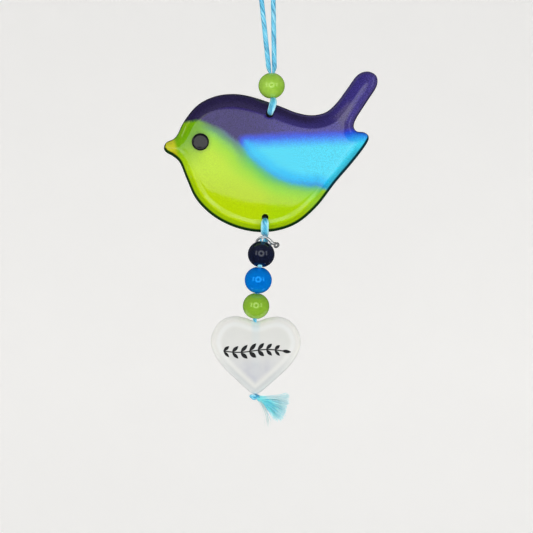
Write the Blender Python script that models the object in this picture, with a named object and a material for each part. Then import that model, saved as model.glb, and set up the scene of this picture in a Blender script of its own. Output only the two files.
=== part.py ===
"""Glass bird suncatcher: a fused glass bird on a floss cord, with a string of beads and a glass heart.

It hangs in the XZ plane with its front to -Y. The origin is where the hanging loop rests on its hook.
Lengths are in metres, and MM turns millimetres into metres.
"""

import math

import bmesh
import bpy
import numpy as np
from mathutils import Vector
from mathutils.geometry import delaunay_2d_cdt

MM = 0.001
GAP = 0.3  # mm, left between two pieces that touch

# Bird, in mm from the middle of its body
BIRD_PLACE = (0.0, 0.0, -99.4)
BIRD_THICKNESS = 6.0
BIRD_EDGE_BAND = 5.0  # how far in from the outline the front is rounded
BIRD_BACK_BAND = 1.0  # how far in the back edge is rounded
BIRD_EDGE_HEIGHT = 1.2  # height of the widest line above the back
BIRD_OUTLINE_STEP = 1.7  # from one point of the outline to the next
BIRD_RINGS = (0.25, 0.8, 1.7, 3.0, BIRD_EDGE_BAND)
UPPER_HOLE = (3.1, 17.9)
UPPER_HOLE_RADIUS = 1.75
LOWER_HOLE = (1.2, -22.4)
LOWER_HOLE_RADIUS = 1.5
HOLE_SIDES = 20

# The bird's outline, clockwise from the beak's tip
BEAK = [(-38.2, 4.7), (-37.3, 6.9), (-34.6, 8.2)]
HEAD = [(-32.9, 10.1), (-30.2, 15.4), (-25.2, 21.4), (-18.6, 24.8), (-11.4, 25.8)]
BACK = [(-4.0, 24.7), (6.5, 21.2), (13.5, 18.5), (19.6, 17.5), (25.0, 18.7), (29.2, 22.3)]
TAIL_TOP = [(33.2, 27.6), (37.4, 33.2), (41.4, 34.6), (44.6, 32.8), (44.6, 28.9), (40.9, 23.0), (36.8, 16.6)]
TAIL_NOTCH = [(35.7, 13.2), (37.0, 11.2)]
TAIL_LOW = [(39.9, 10.8), (41.6, 9.1), (40.4, 6.0)]
BELLY = [
    (35.5, -0.5), (28.5, -8.7), (21.0, -18.3), (12.5, -25.1), (2.0, -27.9),
    (-8.4, -26.7), (-18.1, -22.3), (-25.4, -15.4), (-29.3, -7.3),
]
THROAT = [(-31.9, -1.0), (-34.7, 1.7), (-37.2, 3.1)]

# Eye: a black dot of glass in a shallow pocket
EYE_PLACE = (-23.9, 6.9)
EYE_RADIUS = 3.35
EYE_DEPTH = 1.0  # how far its back lies under the glass face
EYE_DOME = 0.8  # how far its middle stands proud of the glass face
EYE_SIDES = 32

# Beads
BEAD_RADIUS = 5.05
BORE_RADIUS = 1.5
BORE_RIM = 0.35  # rounding at the bore's mouth
BEAD_SIDES = 20
BEAD_STEPS = 11  # of its outside, from one mouth of the bore to the other
TOP_BEAD = (3.8, 0.0, -70.4)
NAVY_BEAD = (-0.2, -1.9, -136.1)
BLUE_BEAD = (-1.3, -1.3, -146.2)
GREEN_BEAD = (-2.3, -0.7, -156.3)

# Heart, in mm from the middle of its two lobes
HEART_PLACE = (-2.4, 0.0, -169.5)
HEART_TILT = 0.8  # degrees, tip to the left
HEART_THICKNESS = 6.0
HEART_EDGE_BAND = 3.8
HEART_BACK_BAND = 1.0
HEART_EDGE_HEIGHT = 1.4
HEART_OUTLINE_STEP = 1.5
HEART_RINGS = (0.25, 0.8, 1.8, HEART_EDGE_BAND)
HEART_HALF = [
    (4.3, 8.5), (8.6, 9.1), (12.8, 7.8), (15.9, 4.6), (17.6, -0.4), (16.4, -5.4),
    (13.0, -10.4), (8.2, -15.1), (4.4, -18.5), (1.9, -20.6),
]
HEART_NOTCH = (0.0, 7.2)
HEART_TIP = (0.0, -21.3)
CHANNEL_RADIUS = 1.3
CHANNEL_TOP = (-0.2, 0.0)
CHANNEL_FOOT = (-0.3, -25.0)
CHANNEL_CUT = 60.0  # length of the peg that cuts it, past both ends of the heart
CHANNEL_SIDES = 16

# Spread of a slab's points, as shares of the step along its outline
RING_SPREAD = 0.6
RIDGE_SPREAD = 0.8
RING_CLEARANCE = 0.2  # mm between points of two rings
RIDGE_CLEARANCE = 0.35  # mm between a ridge point and any other
RIDGE_START = 0.6  # mm inside the outline where the search for a ridge starts
RIDGE_SEARCH_STEP = 0.2
DEPTH_SHARE = 0.985  # of a point's wanted depth that every side of the outline leaves it

# Wire ring: a little over one turn, then a small eye
RING_PLACE = (0.86, 2.8, -131.46)
RING_RADIUS = 2.77
RING_TILT = 43.0  # degrees that its plane leans forward from upright
RING_PITCH = 0.95
RING_STEPS = 24
RING_WIRE = 0.82
RING_START = 34.0  # degrees round the ring where the wire leaves for the eyelet
RING_END = 437.0  # degrees round the ring where the wire ends
EYELET_PLACE = (5.65, 0.9, -132.6)
EYELET_RADIUS = 0.8
EYELET_WIRE = 0.6

# Cords: (x, y, z, radius) in mm, read as a smooth curve
CORD_RADIUS = 0.95
HOOK_RADIUS = 2.85  # of the hook that the loop hangs on
STRANDS_APART = 1.12  # from the middle to each strand just above the bead
STRAND_OFFSET = 0.66  # from a bore's middle to each of its two strands
STRAND_RADIUS = 0.52

# Knot and tassel
KNOT_PLACE = (-2.8, 0.0, -192.4)
KNOT_HALF_SIZE = (2.0, 1.6, 1.5)
KNOT_SIDES = 16
KNOT_ROWS = 10
KNOT_WAIST = 0.18  # share by which the floss's turns nip it in
TASSEL_SECTIONS = [
    # along X, Z, half width across the fan, half depth, lean of the section in degrees
    (-0.5, -193.1, 1.2, 1.0, -35.0),
    (1.2, -193.9, 2.3, 1.2, -30.0),
    (4.1, -195.0, 3.9, 1.3, -27.0),
    (6.9, -196.1, 4.9, 1.1, -24.0),
    (9.2, -197.0, 5.7, 0.7, -22.0),
]
TASSEL_SIDES = 28
TASSEL_FLUTES = 7
FLUTE_DEPTH = 0.12

TURQUOISE = (0.16, 0.62, 0.84, 1.0)


def clear_scene():
    for obj in list(bpy.data.objects):
        bpy.data.objects.remove(obj)


def material(name, colour, roughness, metallic=0.0, transmission=0.0):
    made = bpy.data.materials.new(name)
    made.use_nodes = True
    shader = made.node_tree.nodes["Principled BSDF"]
    shader.inputs["Base Color"].default_value = colour
    shader.inputs["Roughness"].default_value = roughness
    shader.inputs["Metallic"].default_value = metallic
    shader.inputs["Transmission Weight"].default_value = transmission
    made.diffuse_color = colour
    return made


def add_object(name, data, place=(0.0, 0.0, 0.0), finish=None):
    obj = bpy.data.objects.new(name, data)
    bpy.context.scene.collection.objects.link(obj)
    obj.location = Vector(place) * MM
    if finish:
        data.materials.append(finish)
    return obj


def smooth_curve(points, closed, per_span=12):
    """Points along a Catmull-Rom curve through the given ones, with any number of axes."""
    points = np.array(points, float)
    count = len(points)
    spans = count if closed else count - 1
    found = []
    for i in range(spans):
        if closed:
            a, b, c, d = (points[(i + k) % count] for k in (-1, 0, 1, 2))
        else:
            a, b, c, d = (points[min(max(i + k, 0), count - 1)] for k in (-1, 0, 1, 2))
        slope = c - a
        bend = 2 * a - 5 * b + 4 * c - d
        twist = 3 * b - a - 3 * c + d
        for step in range(per_span):
            t = step / per_span
            found.append(b + 0.5 * (slope * t + bend * t**2 + twist * t**3))
    if not closed:
        found.append(points[-1])
    return np.array(found)


def even_outline(corners, step):
    """A closed smooth outline through the corners, with its points about one step apart."""
    curve = smooth_curve(corners, True)
    curve = np.vstack([curve, curve[:1]])
    sides = np.linalg.norm(np.diff(curve, axis=0), axis=1)
    at = np.concatenate([[0.0], np.cumsum(sides)])
    count = int(round(at[-1] / step))
    wanted = np.linspace(0, at[-1], count, endpoint=False)
    return np.column_stack([np.interp(wanted, at, curve[:, axis]) for axis in (0, 1)])


def distance_to_outline(points, outline):
    starts = outline
    sides = np.roll(outline, -1, axis=0) - starts
    away = points[:, None, :] - starts[None]
    share = (away * sides[None]).sum(axis=2) / (sides**2).sum(axis=1)[None]
    share = np.clip(share, 0.0, 1.0)[..., None]
    return np.linalg.norm(away - share * sides[None], axis=2).min(axis=1)


def inward_normals(outline):
    """Unit normals that point into an outline that runs clockwise."""
    tangent = np.roll(outline, -1, axis=0) - np.roll(outline, 1, axis=0)
    tangent /= np.linalg.norm(tangent, axis=1)[:, None]
    return np.column_stack([tangent[:, 1], -tangent[:, 0]])


def spaced(points, step, kept=()):
    """The points that stay at least a step from those already kept."""
    kept = list(kept)
    for point in points:
        if all(math.dist(point, other) >= step for other in kept):
            kept.append(point)
    return kept


def ring_points(outline, depth, step):
    """Points at one depth inside the outline, where it is wide enough to have that depth."""
    inner = outline + inward_normals(outline) * depth
    reached = distance_to_outline(inner, outline) >= depth * DEPTH_SHARE
    return spaced([tuple(point) for point in inner[reached]], step)


def ridge_points(outline, deepest, step):
    """Points on the middle line of every stretch that is narrower than twice the deepest ring."""
    depths = np.arange(RIDGE_START, deepest, RIDGE_SEARCH_STEP)
    found = []
    for start, normal in zip(outline, inward_normals(outline)):
        inner = start + normal * depths[:, None]
        free = distance_to_outline(inner, outline) >= depths * DEPTH_SHARE
        if free.all() or not free[0]:
            continue
        found.append(tuple(inner[np.argmin(free) - 1]))
    return spaced(found, step)


def rounded_rise(depth, band, low, high):
    """Height at a depth inside the edge: a quarter of an ellipse from low to high, then flat."""
    share = np.clip(depth / band, 0.0, 1.0)
    return low + (high - low) * np.sqrt(1.0 - (1.0 - share) ** 2)


def rounded_slab(name, outline, step, rings, thickness, edge_height, back_band):
    """A slab with a flat back and a front that rounds over to its edge, as kiln-fused glass has."""
    back = thickness / 2
    edge = [tuple(point) for point in outline]
    count = len(edge)
    border = [tuple(range(count))]

    def face_mesh(extra):
        flat = [Vector(point) for point in edge + extra]
        points, _, faces, *_ = delaunay_2d_cdt(flat, [], border, 1, 1e-6)
        if len(points) != len(flat):
            raise ValueError(f"{name}: two points of a face coincide")
        return np.array([tuple(point) for point in points]), faces

    front_extra = []
    for depth in rings:
        front_extra = spaced(ring_points(outline, depth, step * RING_SPREAD), RING_CLEARANCE, front_extra)
    ridge = ridge_points(outline, rings[-1], step * RIDGE_SPREAD)
    front_extra = spaced(ridge, RIDGE_CLEARANCE, front_extra)
    front, front_faces = face_mesh(front_extra)
    rear, rear_faces = face_mesh(ring_points(outline, back_band, step * RING_SPREAD))

    mesh = bmesh.new()
    front_depth = distance_to_outline(front, outline)
    front_depth[:count] = 0.0
    rise = rounded_rise(front_depth, rings[-1], edge_height, thickness)
    rear_depth = distance_to_outline(rear, outline)
    drop = edge_height - rounded_rise(rear_depth, back_band, 0.0, edge_height)

    def add_verts(points, heights):
        return [mesh.verts.new((x * MM, (back - up) * MM, z * MM)) for (x, z), up in zip(points, heights)]

    front_verts = add_verts(front, rise)
    rear_verts = front_verts[:count] + add_verts(rear[count:], drop[count:])
    for verts, faces in ((front_verts, front_faces), (rear_verts, rear_faces)):
        for face in faces:
            mesh.faces.new([verts[index] for index in face])
    bmesh.ops.recalc_face_normals(mesh, faces=mesh.faces)
    data = bpy.data.meshes.new(name)
    mesh.to_mesh(data)
    mesh.free()
    data.shade_smooth()
    data.set_sharp_from_angle(angle=math.radians(40))
    return data


def turned(name, profile, sides):
    """A closed body turned round the Z axis from (radius, height) points, in mm."""
    mesh = bmesh.new()
    closed_ring = profile[0][0] > 0 and profile[-1][0] > 0
    rows = []
    for radius, height in profile:
        if radius == 0:
            rows.append([mesh.verts.new((0, 0, height * MM))])
            continue
        rows.append([
            mesh.verts.new((
                radius * math.cos(2 * math.pi * i / sides) * MM,
                radius * math.sin(2 * math.pi * i / sides) * MM,
                height * MM,
            ))
            for i in range(sides)
        ])
    pairs = list(zip(rows, rows[1:]))
    if closed_ring:
        pairs.append((rows[-1], rows[0]))
    for low, high in pairs:
        for i in range(sides):
            j = (i + 1) % sides
            corners = [low[i % len(low)], low[j % len(low)], high[j % len(high)], high[i % len(high)]]
            mesh.faces.new(list(dict.fromkeys(corners)))
    bmesh.ops.recalc_face_normals(mesh, faces=mesh.faces)
    data = bpy.data.meshes.new(name)
    mesh.to_mesh(data)
    mesh.free()
    data.shade_smooth()
    data.set_sharp_from_angle(angle=math.radians(50))
    return data


def point_along(obj, direction):
    """Turns the object's own Z axis along a direction."""
    obj.rotation_mode = "QUATERNION"
    obj.rotation_quaternion = Vector((0, 0, 1)).rotation_difference(Vector(direction))


def cutter(name, data, place, direction, target):
    """A hidden tool, laid along a direction, whose shape is cut out of the target."""
    tool = add_object(name, data, place)
    tool.parent = target
    point_along(tool, direction)
    tool.hide_render = True
    tool.display_type = "WIRE"
    cut = target.modifiers.new(name, "BOOLEAN")
    cut.operation = "DIFFERENCE"
    cut.solver = "EXACT"
    cut.object = tool


def peg(name, radius, length, sides):
    """A plain round peg along Z, centred on its middle."""
    half = length / 2
    return turned(name, [(0, -half), (radius, -half), (radius, half), (0, half)], sides)


def cord(name, route, finish, closed=False, per_span=2):
    """A round tube on a smooth curve through (x, y, z, radius) points in mm."""
    path = smooth_curve(route, closed, per_span)
    data = bpy.data.curves.new(name, "CURVE")
    data.dimensions = "3D"
    data.bevel_depth = MM
    data.bevel_resolution = 2
    data.use_fill_caps = not closed
    data.twist_mode = "MINIMUM"
    spline = data.splines.new("POLY")
    spline.points.add(len(path) - 1)
    for point, (x, y, z, radius) in zip(spline.points, path):
        point.co = (x * MM, y * MM, z * MM, 1.0)
        point.radius = radius
    spline.use_cyclic_u = closed
    spline.use_smooth = True
    return add_object(name, data, finish=finish)


def bird_outline():
    corners = BEAK + HEAD + BACK + TAIL_TOP + TAIL_NOTCH + TAIL_LOW + BELLY + THROAT
    return even_outline(corners, BIRD_OUTLINE_STEP)


def build_bird(finish):
    data = rounded_slab(
        "bird", bird_outline(), BIRD_OUTLINE_STEP, BIRD_RINGS, BIRD_THICKNESS, BIRD_EDGE_HEIGHT,
        BIRD_BACK_BAND
    )
    bird = add_object("bird", data, BIRD_PLACE, finish)
    through = BIRD_THICKNESS * 2
    for name, (x, z), radius in (
        ("upper_hole_cutter", UPPER_HOLE, UPPER_HOLE_RADIUS),
        ("lower_hole_cutter", LOWER_HOLE, LOWER_HOLE_RADIUS),
    ):
        cutter(name, peg(name, radius, through, HOLE_SIDES), (x, 0, z), (0, 1, 0), bird)
    x, z = EYE_PLACE
    pocket_floor = -BIRD_THICKNESS / 2 + EYE_DEPTH + GAP
    pocket = peg("eye_pocket_cutter", EYE_RADIUS + GAP, BIRD_THICKNESS, EYE_SIDES)
    cutter("eye_pocket_cutter", pocket, (x, pocket_floor - BIRD_THICKNESS / 2, z), (0, 1, 0), bird)
    return bird


def build_eye(bird, finish):
    """A flat-backed dot with a low domed front, turned about its own axis and laid to face -Y."""
    dome = [
        (EYE_RADIUS * math.cos(angle), EYE_DOME * math.sin(angle))
        for angle in (math.radians(step) for step in range(0, 90, 18))
    ]
    profile = [(0, -EYE_DEPTH), (EYE_RADIUS * 0.97, -EYE_DEPTH)] + dome + [(0, EYE_DOME)]
    x, z = EYE_PLACE
    eye = add_object("eye", turned("eye", profile, EYE_SIDES), (x, -BIRD_THICKNESS / 2, z), finish)
    eye.parent = bird
    point_along(eye, (0, -1, 0))


def bead_profile():
    """From the bore's foot mouth, round the outside, to the bore's top mouth."""
    start = math.asin((BORE_RADIUS + BORE_RIM) / BEAD_RADIUS)
    outside = []
    for i in range(BEAD_STEPS + 1):
        angle = start + (math.pi - 2 * start) * i / BEAD_STEPS
        outside.append((BEAD_RADIUS * math.sin(angle), -BEAD_RADIUS * math.cos(angle)))
    mouth = outside[-1][1] - BORE_RIM * 0.4
    return [(BORE_RADIUS, -mouth)] + outside + [(BORE_RADIUS, mouth)]


def build_bead(name, place, direction, finish):
    bead = add_object(name, turned(name, bead_profile(), BEAD_SIDES), place, finish)
    point_along(bead, direction)


def heart_outline():
    """Clockwise from the notch: the right half, the tip, and the right half mirrored."""
    mirrored = [(-x, z) for x, z in reversed(HEART_HALF)]
    corners = [HEART_NOTCH] + HEART_HALF + [HEART_TIP] + mirrored
    return even_outline(corners, HEART_OUTLINE_STEP)


def build_heart(finish):
    data = rounded_slab(
        "heart", heart_outline(), HEART_OUTLINE_STEP, HEART_RINGS, HEART_THICKNESS, HEART_EDGE_HEIGHT,
        HEART_BACK_BAND
    )
    heart = add_object("heart", data, HEART_PLACE, finish)
    heart.rotation_euler = (0, math.radians(HEART_TILT), 0)
    top_x, top_z = CHANNEL_TOP
    foot_x, foot_z = CHANNEL_FOOT
    middle = ((top_x + foot_x) / 2, 0, (top_z + foot_z) / 2)
    name = "heart_channel_cutter"
    channel = peg(name, CHANNEL_RADIUS, CHANNEL_CUT, CHANNEL_SIDES)
    cutter(name, channel, middle, (top_x - foot_x, 0, top_z - foot_z), heart)


def bore_route(start, end, twist_from, twist_to, steps):
    """Points of one strand through a bore, turning about the other strand, from start to end."""
    found = []
    for i in range(steps + 1):
        share = i / steps
        angle = math.radians(twist_from + (twist_to - twist_from) * share)
        x, y, z = (a + (b - a) * share for a, b in zip(start, end))
        x += STRAND_OFFSET * math.cos(angle)
        y += STRAND_OFFSET * math.sin(angle)
        found.append((x, y, z, STRAND_RADIUS))
    return found


def hanging_cord_route():
    """One cord: it starts in the bead, loops through the bird's hole, climbs to the hook and comes back."""
    x, y, z = TOP_BEAD
    mouth = BEAD_RADIUS - 0.1
    front = [
        (x + 0.4, -1.7, z - 5.7, 0.65),
        (x + 0.6, -3.0, z - 7.1, 1.0),
        (x + 0.2, -3.9, z - 8.9, 1.15),
        (x - 0.4, -3.6, z - 10.5, 1.15),
    ]
    hole = [(x - 0.7, -1.8, z - 10.95, 1.1), (x - 0.7, 1.8, z - 10.95, 1.1)]
    rear = [
        (x - 0.6, 4.0, z - 10.5, 1.1),
        (x - 0.4, 4.5, z - 8.9, 1.05),
        (x - 0.2, 3.9, z - 7.0, 0.75),
        (x - 0.1, 2.0, z - 5.8, 0.6),
    ]
    foot = (x, y, z - mouth)
    top = (x, y, z + mouth)
    middle_low = (x, y, z - 0.3)
    middle_high = (x, y, z + 0.5)
    climb_from = (x - 0.1, z + 7.2)
    bend_radius = HOOK_RADIUS + CORD_RADIUS
    bend_z = -HOOK_RADIUS
    right, left = [], []
    for share in np.arange(0.0, 1.0, 0.25):
        centre = climb_from[0] * (1 - share)
        spread = STRANDS_APART + (bend_radius - STRANDS_APART) * share
        height = climb_from[1] + (bend_z - climb_from[1]) * share
        right.append((centre + spread, 0.0, height, CORD_RADIUS))
        left.append((centre - spread, 0.0, height, CORD_RADIUS))
    bend = []
    for angle in np.radians((0, 45, 90, 135, 180)):
        bend.append((bend_radius * math.cos(angle), 0.0, bend_z + bend_radius * math.sin(angle), CORD_RADIUS))
    return (
        bore_route(middle_low, foot, 225, 270, 2)
        + front + hole + rear
        + bore_route(foot, top, 90, 0, 4)
        + right + bend + left[::-1]
        + bore_route(top, middle_high, 180, 222, 2)
    )


def lower_loop_route():
    """A closed loop: out of the lower hole in front, down behind the ring's near arc, round its far side."""
    x = BIRD_PLACE[0] + LOWER_HOLE[0]
    z = BIRD_PLACE[2] + LOWER_HOLE[1]
    return [
        (x, 0.0, z, 0.9),
        (x, -2.4, z, 0.9),
        (x, -3.9, z - 0.2, 0.9),
        (x, -4.8, z - 1.6, 1.05),
        (x, -4.3, z - 3.6, 1.25),
        (x, -2.7, z - 5.2, 1.1),
        (x, -0.6, z - 6.2, 0.65),
        (x + 0.2, 0.9, z - 6.5, 0.45),
        (x + 0.5, 2.2, z - 7.1, 0.42),
        (x + 0.7, 2.85, z - 8.8, 0.4),
        (x + 0.7, 2.75, z - 10.8, 0.4),
        (x + 0.7, 3.0, z - 12.6, 0.38),
        (x + 0.65, 4.3, z - 13.6, 0.38),
        (x + 0.5, 5.7, z - 12.8, 0.38),
        (x + 0.4, 5.9, z - 10.4, 0.45),
        (x + 0.2, 5.5, z - 7.8, 0.6),
        (x, 5.1, z - 5.6, 0.9),
        (x, 4.8, z - 3.6, 1.1),
        (x, 4.8, z - 1.6, 1.0),
        (x, 3.9, z - 0.2, 0.9),
        (x, 2.4, z, 0.9),
    ]


def bead_axis():
    """Direction of the three beads' bores, up the string."""
    return tuple(a - b for a, b in zip(NAVY_BEAD, GREEN_BEAD))


def bead_string_route():
    """From the knot up through the heart and the beads, round the ring and back into the navy bead."""
    navy, green = Vector(NAVY_BEAD), Vector(GREEN_BEAD)
    up = (navy - green).normalized()
    side = Vector((1, 0, 0))
    mouth = up * (BEAD_RADIUS - 0.2)
    heart_x, heart_z = HEART_PLACE[0], HEART_PLACE[2]
    low = [
        (-2.7, 0.0, -190.6, 0.7),
        (heart_x - 0.3, 0.0, heart_z - 12.0, 0.8),
        (heart_x - 0.2, 0.0, heart_z + 3.0, 0.75),
        (-2.45, -0.3, -162.8, 0.6),
    ]
    beads = []
    for centre in (green, Vector(BLUE_BEAD)):
        beads += [(*(centre - mouth), 0.6), (*centre, 0.6), (*(centre + mouth), 0.6)]
    beads += [(*(navy - mouth), 0.6)]
    rising = [(*(navy - up * 2.5 + side * -0.3), 0.5)]
    rising += [(*(navy + up * share - side * STRAND_OFFSET), STRAND_RADIUS) for share in (0.0, 2.5, 4.6)]
    over = [
        (-0.45, -1.2, -130.42, 0.36),
        (-0.5, 0.3, -130.6, 0.36),
        (-0.5, 1.7, -131.3, 0.36),
        (-0.5, 2.8, -132.6, 0.4),
        (-0.45, 3.25, -134.1, 0.38),
        (-0.3, 4.3, -134.8, 0.4),
        (-0.1, 5.4, -134.0, 0.42),
        (0.2, 5.1, -132.6, 0.42),
        (0.5, 3.8, -131.9, 0.42),
        (0.6, 2.4, -131.3, 0.38),
        (0.7, 1.2, -130.8, 0.36),
        (0.8, -0.2, -130.45, 0.36),
        (0.85, -1.2, -130.45, 0.36),
    ]
    falling = [(*(navy + up * share + side * STRAND_OFFSET), STRAND_RADIUS) for share in (4.6, 2.5, 0.4)]
    return low + beads + rising + over + falling


def ring_frame():
    tilt = math.radians(RING_TILT)
    across = Vector((1, 0, 0))
    up = Vector((0, -math.sin(tilt), math.cos(tilt)))
    normal = Vector((0, math.cos(tilt), math.sin(tilt)))
    return across, up, normal


def wire_ring_route():
    """The small eye at the right, over the near arc, round the back, and over the near arc again."""
    across, up, normal = ring_frame()
    centre = Vector(RING_PLACE)
    wire = RING_WIRE / 2
    turns = []
    for step in range(RING_STEPS + 1):
        angle = math.radians(RING_START + (RING_END - RING_START) * step / RING_STEPS)
        place = centre + (across * math.cos(angle) + up * math.sin(angle)) * RING_RADIUS
        place -= normal * RING_PITCH * (angle - math.radians(90)) / (2 * math.pi)
        turns.append((*place, wire))
    eyelet = []
    for angle in range(165, 420, 30):
        turn = math.radians(angle)
        place = Vector(EYELET_PLACE) + Vector((math.cos(turn), 0, math.sin(turn))) * EYELET_RADIUS
        eyelet.append((*place, EYELET_WIRE / 2))
    return eyelet + turns


def build_tassel(finish):
    """A fluted fan, lofted through its sections."""
    mesh = bmesh.new()
    rows = []
    for x, z, half_width, half_depth, lean in TASSEL_SECTIONS:
        turn = math.radians(lean)
        row = []
        for i in range(TASSEL_SIDES):
            angle = 2 * math.pi * i / TASSEL_SIDES
            flute = 1 + FLUTE_DEPTH * math.cos(TASSEL_FLUTES * angle)
            across = half_width * math.cos(angle) * flute
            depth = half_depth * math.sin(angle) * flute
            row.append(mesh.verts.new((
                (x + across * -math.sin(turn)) * MM,
                depth * MM,
                (z + across * math.cos(turn)) * MM,
            )))
        rows.append(row)
    for low, high in zip(rows, rows[1:]):
        for i in range(TASSEL_SIDES):
            j = (i + 1) % TASSEL_SIDES
            mesh.faces.new((low[i], low[j], high[j], high[i]))
    mesh.faces.new(rows[0])
    mesh.faces.new(rows[-1])
    bmesh.ops.recalc_face_normals(mesh, faces=mesh.faces)
    data = bpy.data.meshes.new("tassel")
    mesh.to_mesh(data)
    mesh.free()
    data.shade_smooth()
    return add_object("tassel", data, finish=finish)


def build_knot(finish):
    mesh = bmesh.new()
    bmesh.ops.create_uvsphere(mesh, u_segments=KNOT_SIDES, v_segments=KNOT_ROWS, radius=1.0)
    x, y, z = KNOT_HALF_SIZE
    for vert in mesh.verts:
        waist = 1 - KNOT_WAIST * math.cos(3 * vert.co.x) * (1 - vert.co.x**2)
        vert.co = Vector((vert.co.x * x, vert.co.y * y * waist, vert.co.z * z * waist)) * MM
    data = bpy.data.meshes.new("knot")
    mesh.to_mesh(data)
    mesh.free()
    data.shade_smooth()
    return add_object("knot", data, KNOT_PLACE, finish)


def main():
    clear_scene()
    floss = material("floss", TURQUOISE, 0.55)
    bird_glass = material("bird_glass", (0.24, 0.62, 0.08, 1.0), 0.08, transmission=0.3)
    black_glass = material("black_glass", (0.02, 0.02, 0.025, 1.0), 0.08)
    green_glass = material("green_glass", (0.24, 0.50, 0.04, 1.0), 0.1, transmission=0.3)
    navy_glass = material("navy_glass", (0.008, 0.01, 0.035, 1.0), 0.1)
    blue_glass = material("blue_glass", (0.0, 0.11, 0.52, 1.0), 0.1, transmission=0.2)
    frosted_glass = material("frosted_glass", (0.72, 0.76, 0.75, 1.0), 0.35, transmission=0.5)
    steel = material("steel", (0.55, 0.55, 0.53, 1.0), 0.25, metallic=1.0)

    bird = build_bird(bird_glass)
    build_eye(bird, black_glass)
    build_bead("top_bead", TOP_BEAD, (0, 0, 1), green_glass)
    build_bead("navy_bead", NAVY_BEAD, bead_axis(), navy_glass)
    build_bead("blue_bead", BLUE_BEAD, bead_axis(), blue_glass)
    build_bead("green_bead", GREEN_BEAD, bead_axis(), green_glass)
    build_heart(frosted_glass)
    cord("hanging_cord", hanging_cord_route(), floss)
    cord("lower_loop", lower_loop_route(), floss, closed=True)
    cord("bead_string", bead_string_route(), floss)
    cord("wire_ring", wire_ring_route(), steel, per_span=1)
    build_knot(floss)
    build_tassel(floss)
    bpy.context.view_layer.update()


main()
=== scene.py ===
import math

import bmesh
import bpy
import numpy as np
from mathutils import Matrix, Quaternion, Vector
from mathutils.geometry import delaunay_2d_cdt


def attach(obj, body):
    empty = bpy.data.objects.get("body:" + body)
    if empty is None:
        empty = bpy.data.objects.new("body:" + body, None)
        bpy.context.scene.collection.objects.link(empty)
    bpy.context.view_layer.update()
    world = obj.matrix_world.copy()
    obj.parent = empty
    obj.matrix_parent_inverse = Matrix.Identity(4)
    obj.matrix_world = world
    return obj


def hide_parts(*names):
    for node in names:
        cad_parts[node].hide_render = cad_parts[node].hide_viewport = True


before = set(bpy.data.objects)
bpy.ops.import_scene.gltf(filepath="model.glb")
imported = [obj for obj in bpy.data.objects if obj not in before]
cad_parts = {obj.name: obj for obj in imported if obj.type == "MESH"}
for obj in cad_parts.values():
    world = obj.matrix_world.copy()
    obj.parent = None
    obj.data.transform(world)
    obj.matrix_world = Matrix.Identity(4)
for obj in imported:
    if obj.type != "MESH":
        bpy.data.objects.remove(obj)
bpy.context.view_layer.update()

# Fused glass bird suncatcher: glass, satin floss, beads and a bent wire ring, hung in a pale studio.
# Lengths are in millimetres unless a name says otherwise; the front faces -Y.
mm = 0.001
sharpAngle = 50       # degrees between two faces from which their edge stays sharp
chance = np.random.default_rng(11)


# Camera, stage and lights

view = {
    "centre": (1.755, 0.0, -140.9),
    "width": 207.9,          # of what the camera sees at the object
    "distance": 750.0,
    "sensor": 36.0,
}
studio = {
    "floor": -700.0,
    "flatRadius": 700.0,
    "wallRadius": 1150.0,
    "wallTop": 900.0,
    "paper": (0.80, 0.795, 0.785),
    "glow": 0.355,
    "skyHigh": (0.15, 0.155, 0.165),
    "skyLow": (0.05, 0.053, 0.06),
}
lamps = {
    # name: place, size, watts, degrees of roll
    "leftLamp": ((-620.0, -640.0, 20.0), (220.0, 560.0), 0.6, 0.0),
    "rightLamp": ((640.0, -600.0, -10.0), (200.0, 560.0), 0.5, 0.0),
    "topLamp": ((0.0, 60.0, 650.0), (700.0, 500.0), 0.6, 0.0),
    "backLamp": ((-300.0, 800.0, 250.0), (600.0, 600.0), 1.0, 0.0),
    "faceLamp": ((20.0, -800.0, -47.0), (420.0, 163.0), 0.33, -8.0),
}
unmirrored = ("topLamp", "backLamp")   # they light the glass without showing in it
ringLight = {"lamps": 12, "radius": 298.0, "discs": 265.0, "watts": 2.4, "behind": -800.0, "lift": 100.0}


def placeCamera():
    camera = bpy.data.objects.new("camera", bpy.data.cameras.new("camera"))
    bpy.context.scene.collection.objects.link(camera)
    camera.location = (Vector(view["centre"]) - Vector((0, view["distance"], 0))) * mm
    camera.rotation_euler = (math.radians(90), 0, 0)
    camera.data.sensor_width = view["sensor"]
    camera.data.lens = view["sensor"] * view["distance"] / view["width"]
    camera.data.clip_end = 20
    bpy.context.scene.camera = camera


def hangLamp(name, place, size, watts, roll=0.0, shape="RECTANGLE"):
    lamp = bpy.data.lights.new(name, "AREA")
    lamp.shape = shape
    lamp.size = size[0] * mm
    lamp.size_y = size[1] * mm
    lamp.energy = watts
    holder = bpy.data.objects.new(name, lamp)
    bpy.context.scene.collection.objects.link(holder)
    holder.location = Vector(place) * mm
    toward = Vector(view["centre"]) - Vector(place)
    holder.rotation_mode = "QUATERNION"
    holder.rotation_quaternion = toward.to_track_quat("-Z", "Y") @ Quaternion((0, 0, 1), math.radians(roll))
    holder.visible_camera = False
    return holder


def hangRingLight():
    # lamps in a circle round the camera; those of its upper half are returned
    count = ringLight["lamps"]
    x, _, z = view["centre"]
    upper = []
    for number in range(count):
        turn = 2 * math.pi * number / count
        place = (x + ringLight["radius"] * math.cos(turn), ringLight["behind"],
                 z + ringLight["lift"] + ringLight["radius"] * math.sin(turn))
        size = (ringLight["discs"],) * 2
        lamp = hangLamp(f"ringLamp{number}", place, size, ringLight["watts"] / count, shape="DISK")
        if math.sin(turn) > -0.1:
            upper.append(lamp)
    return upper


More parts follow.
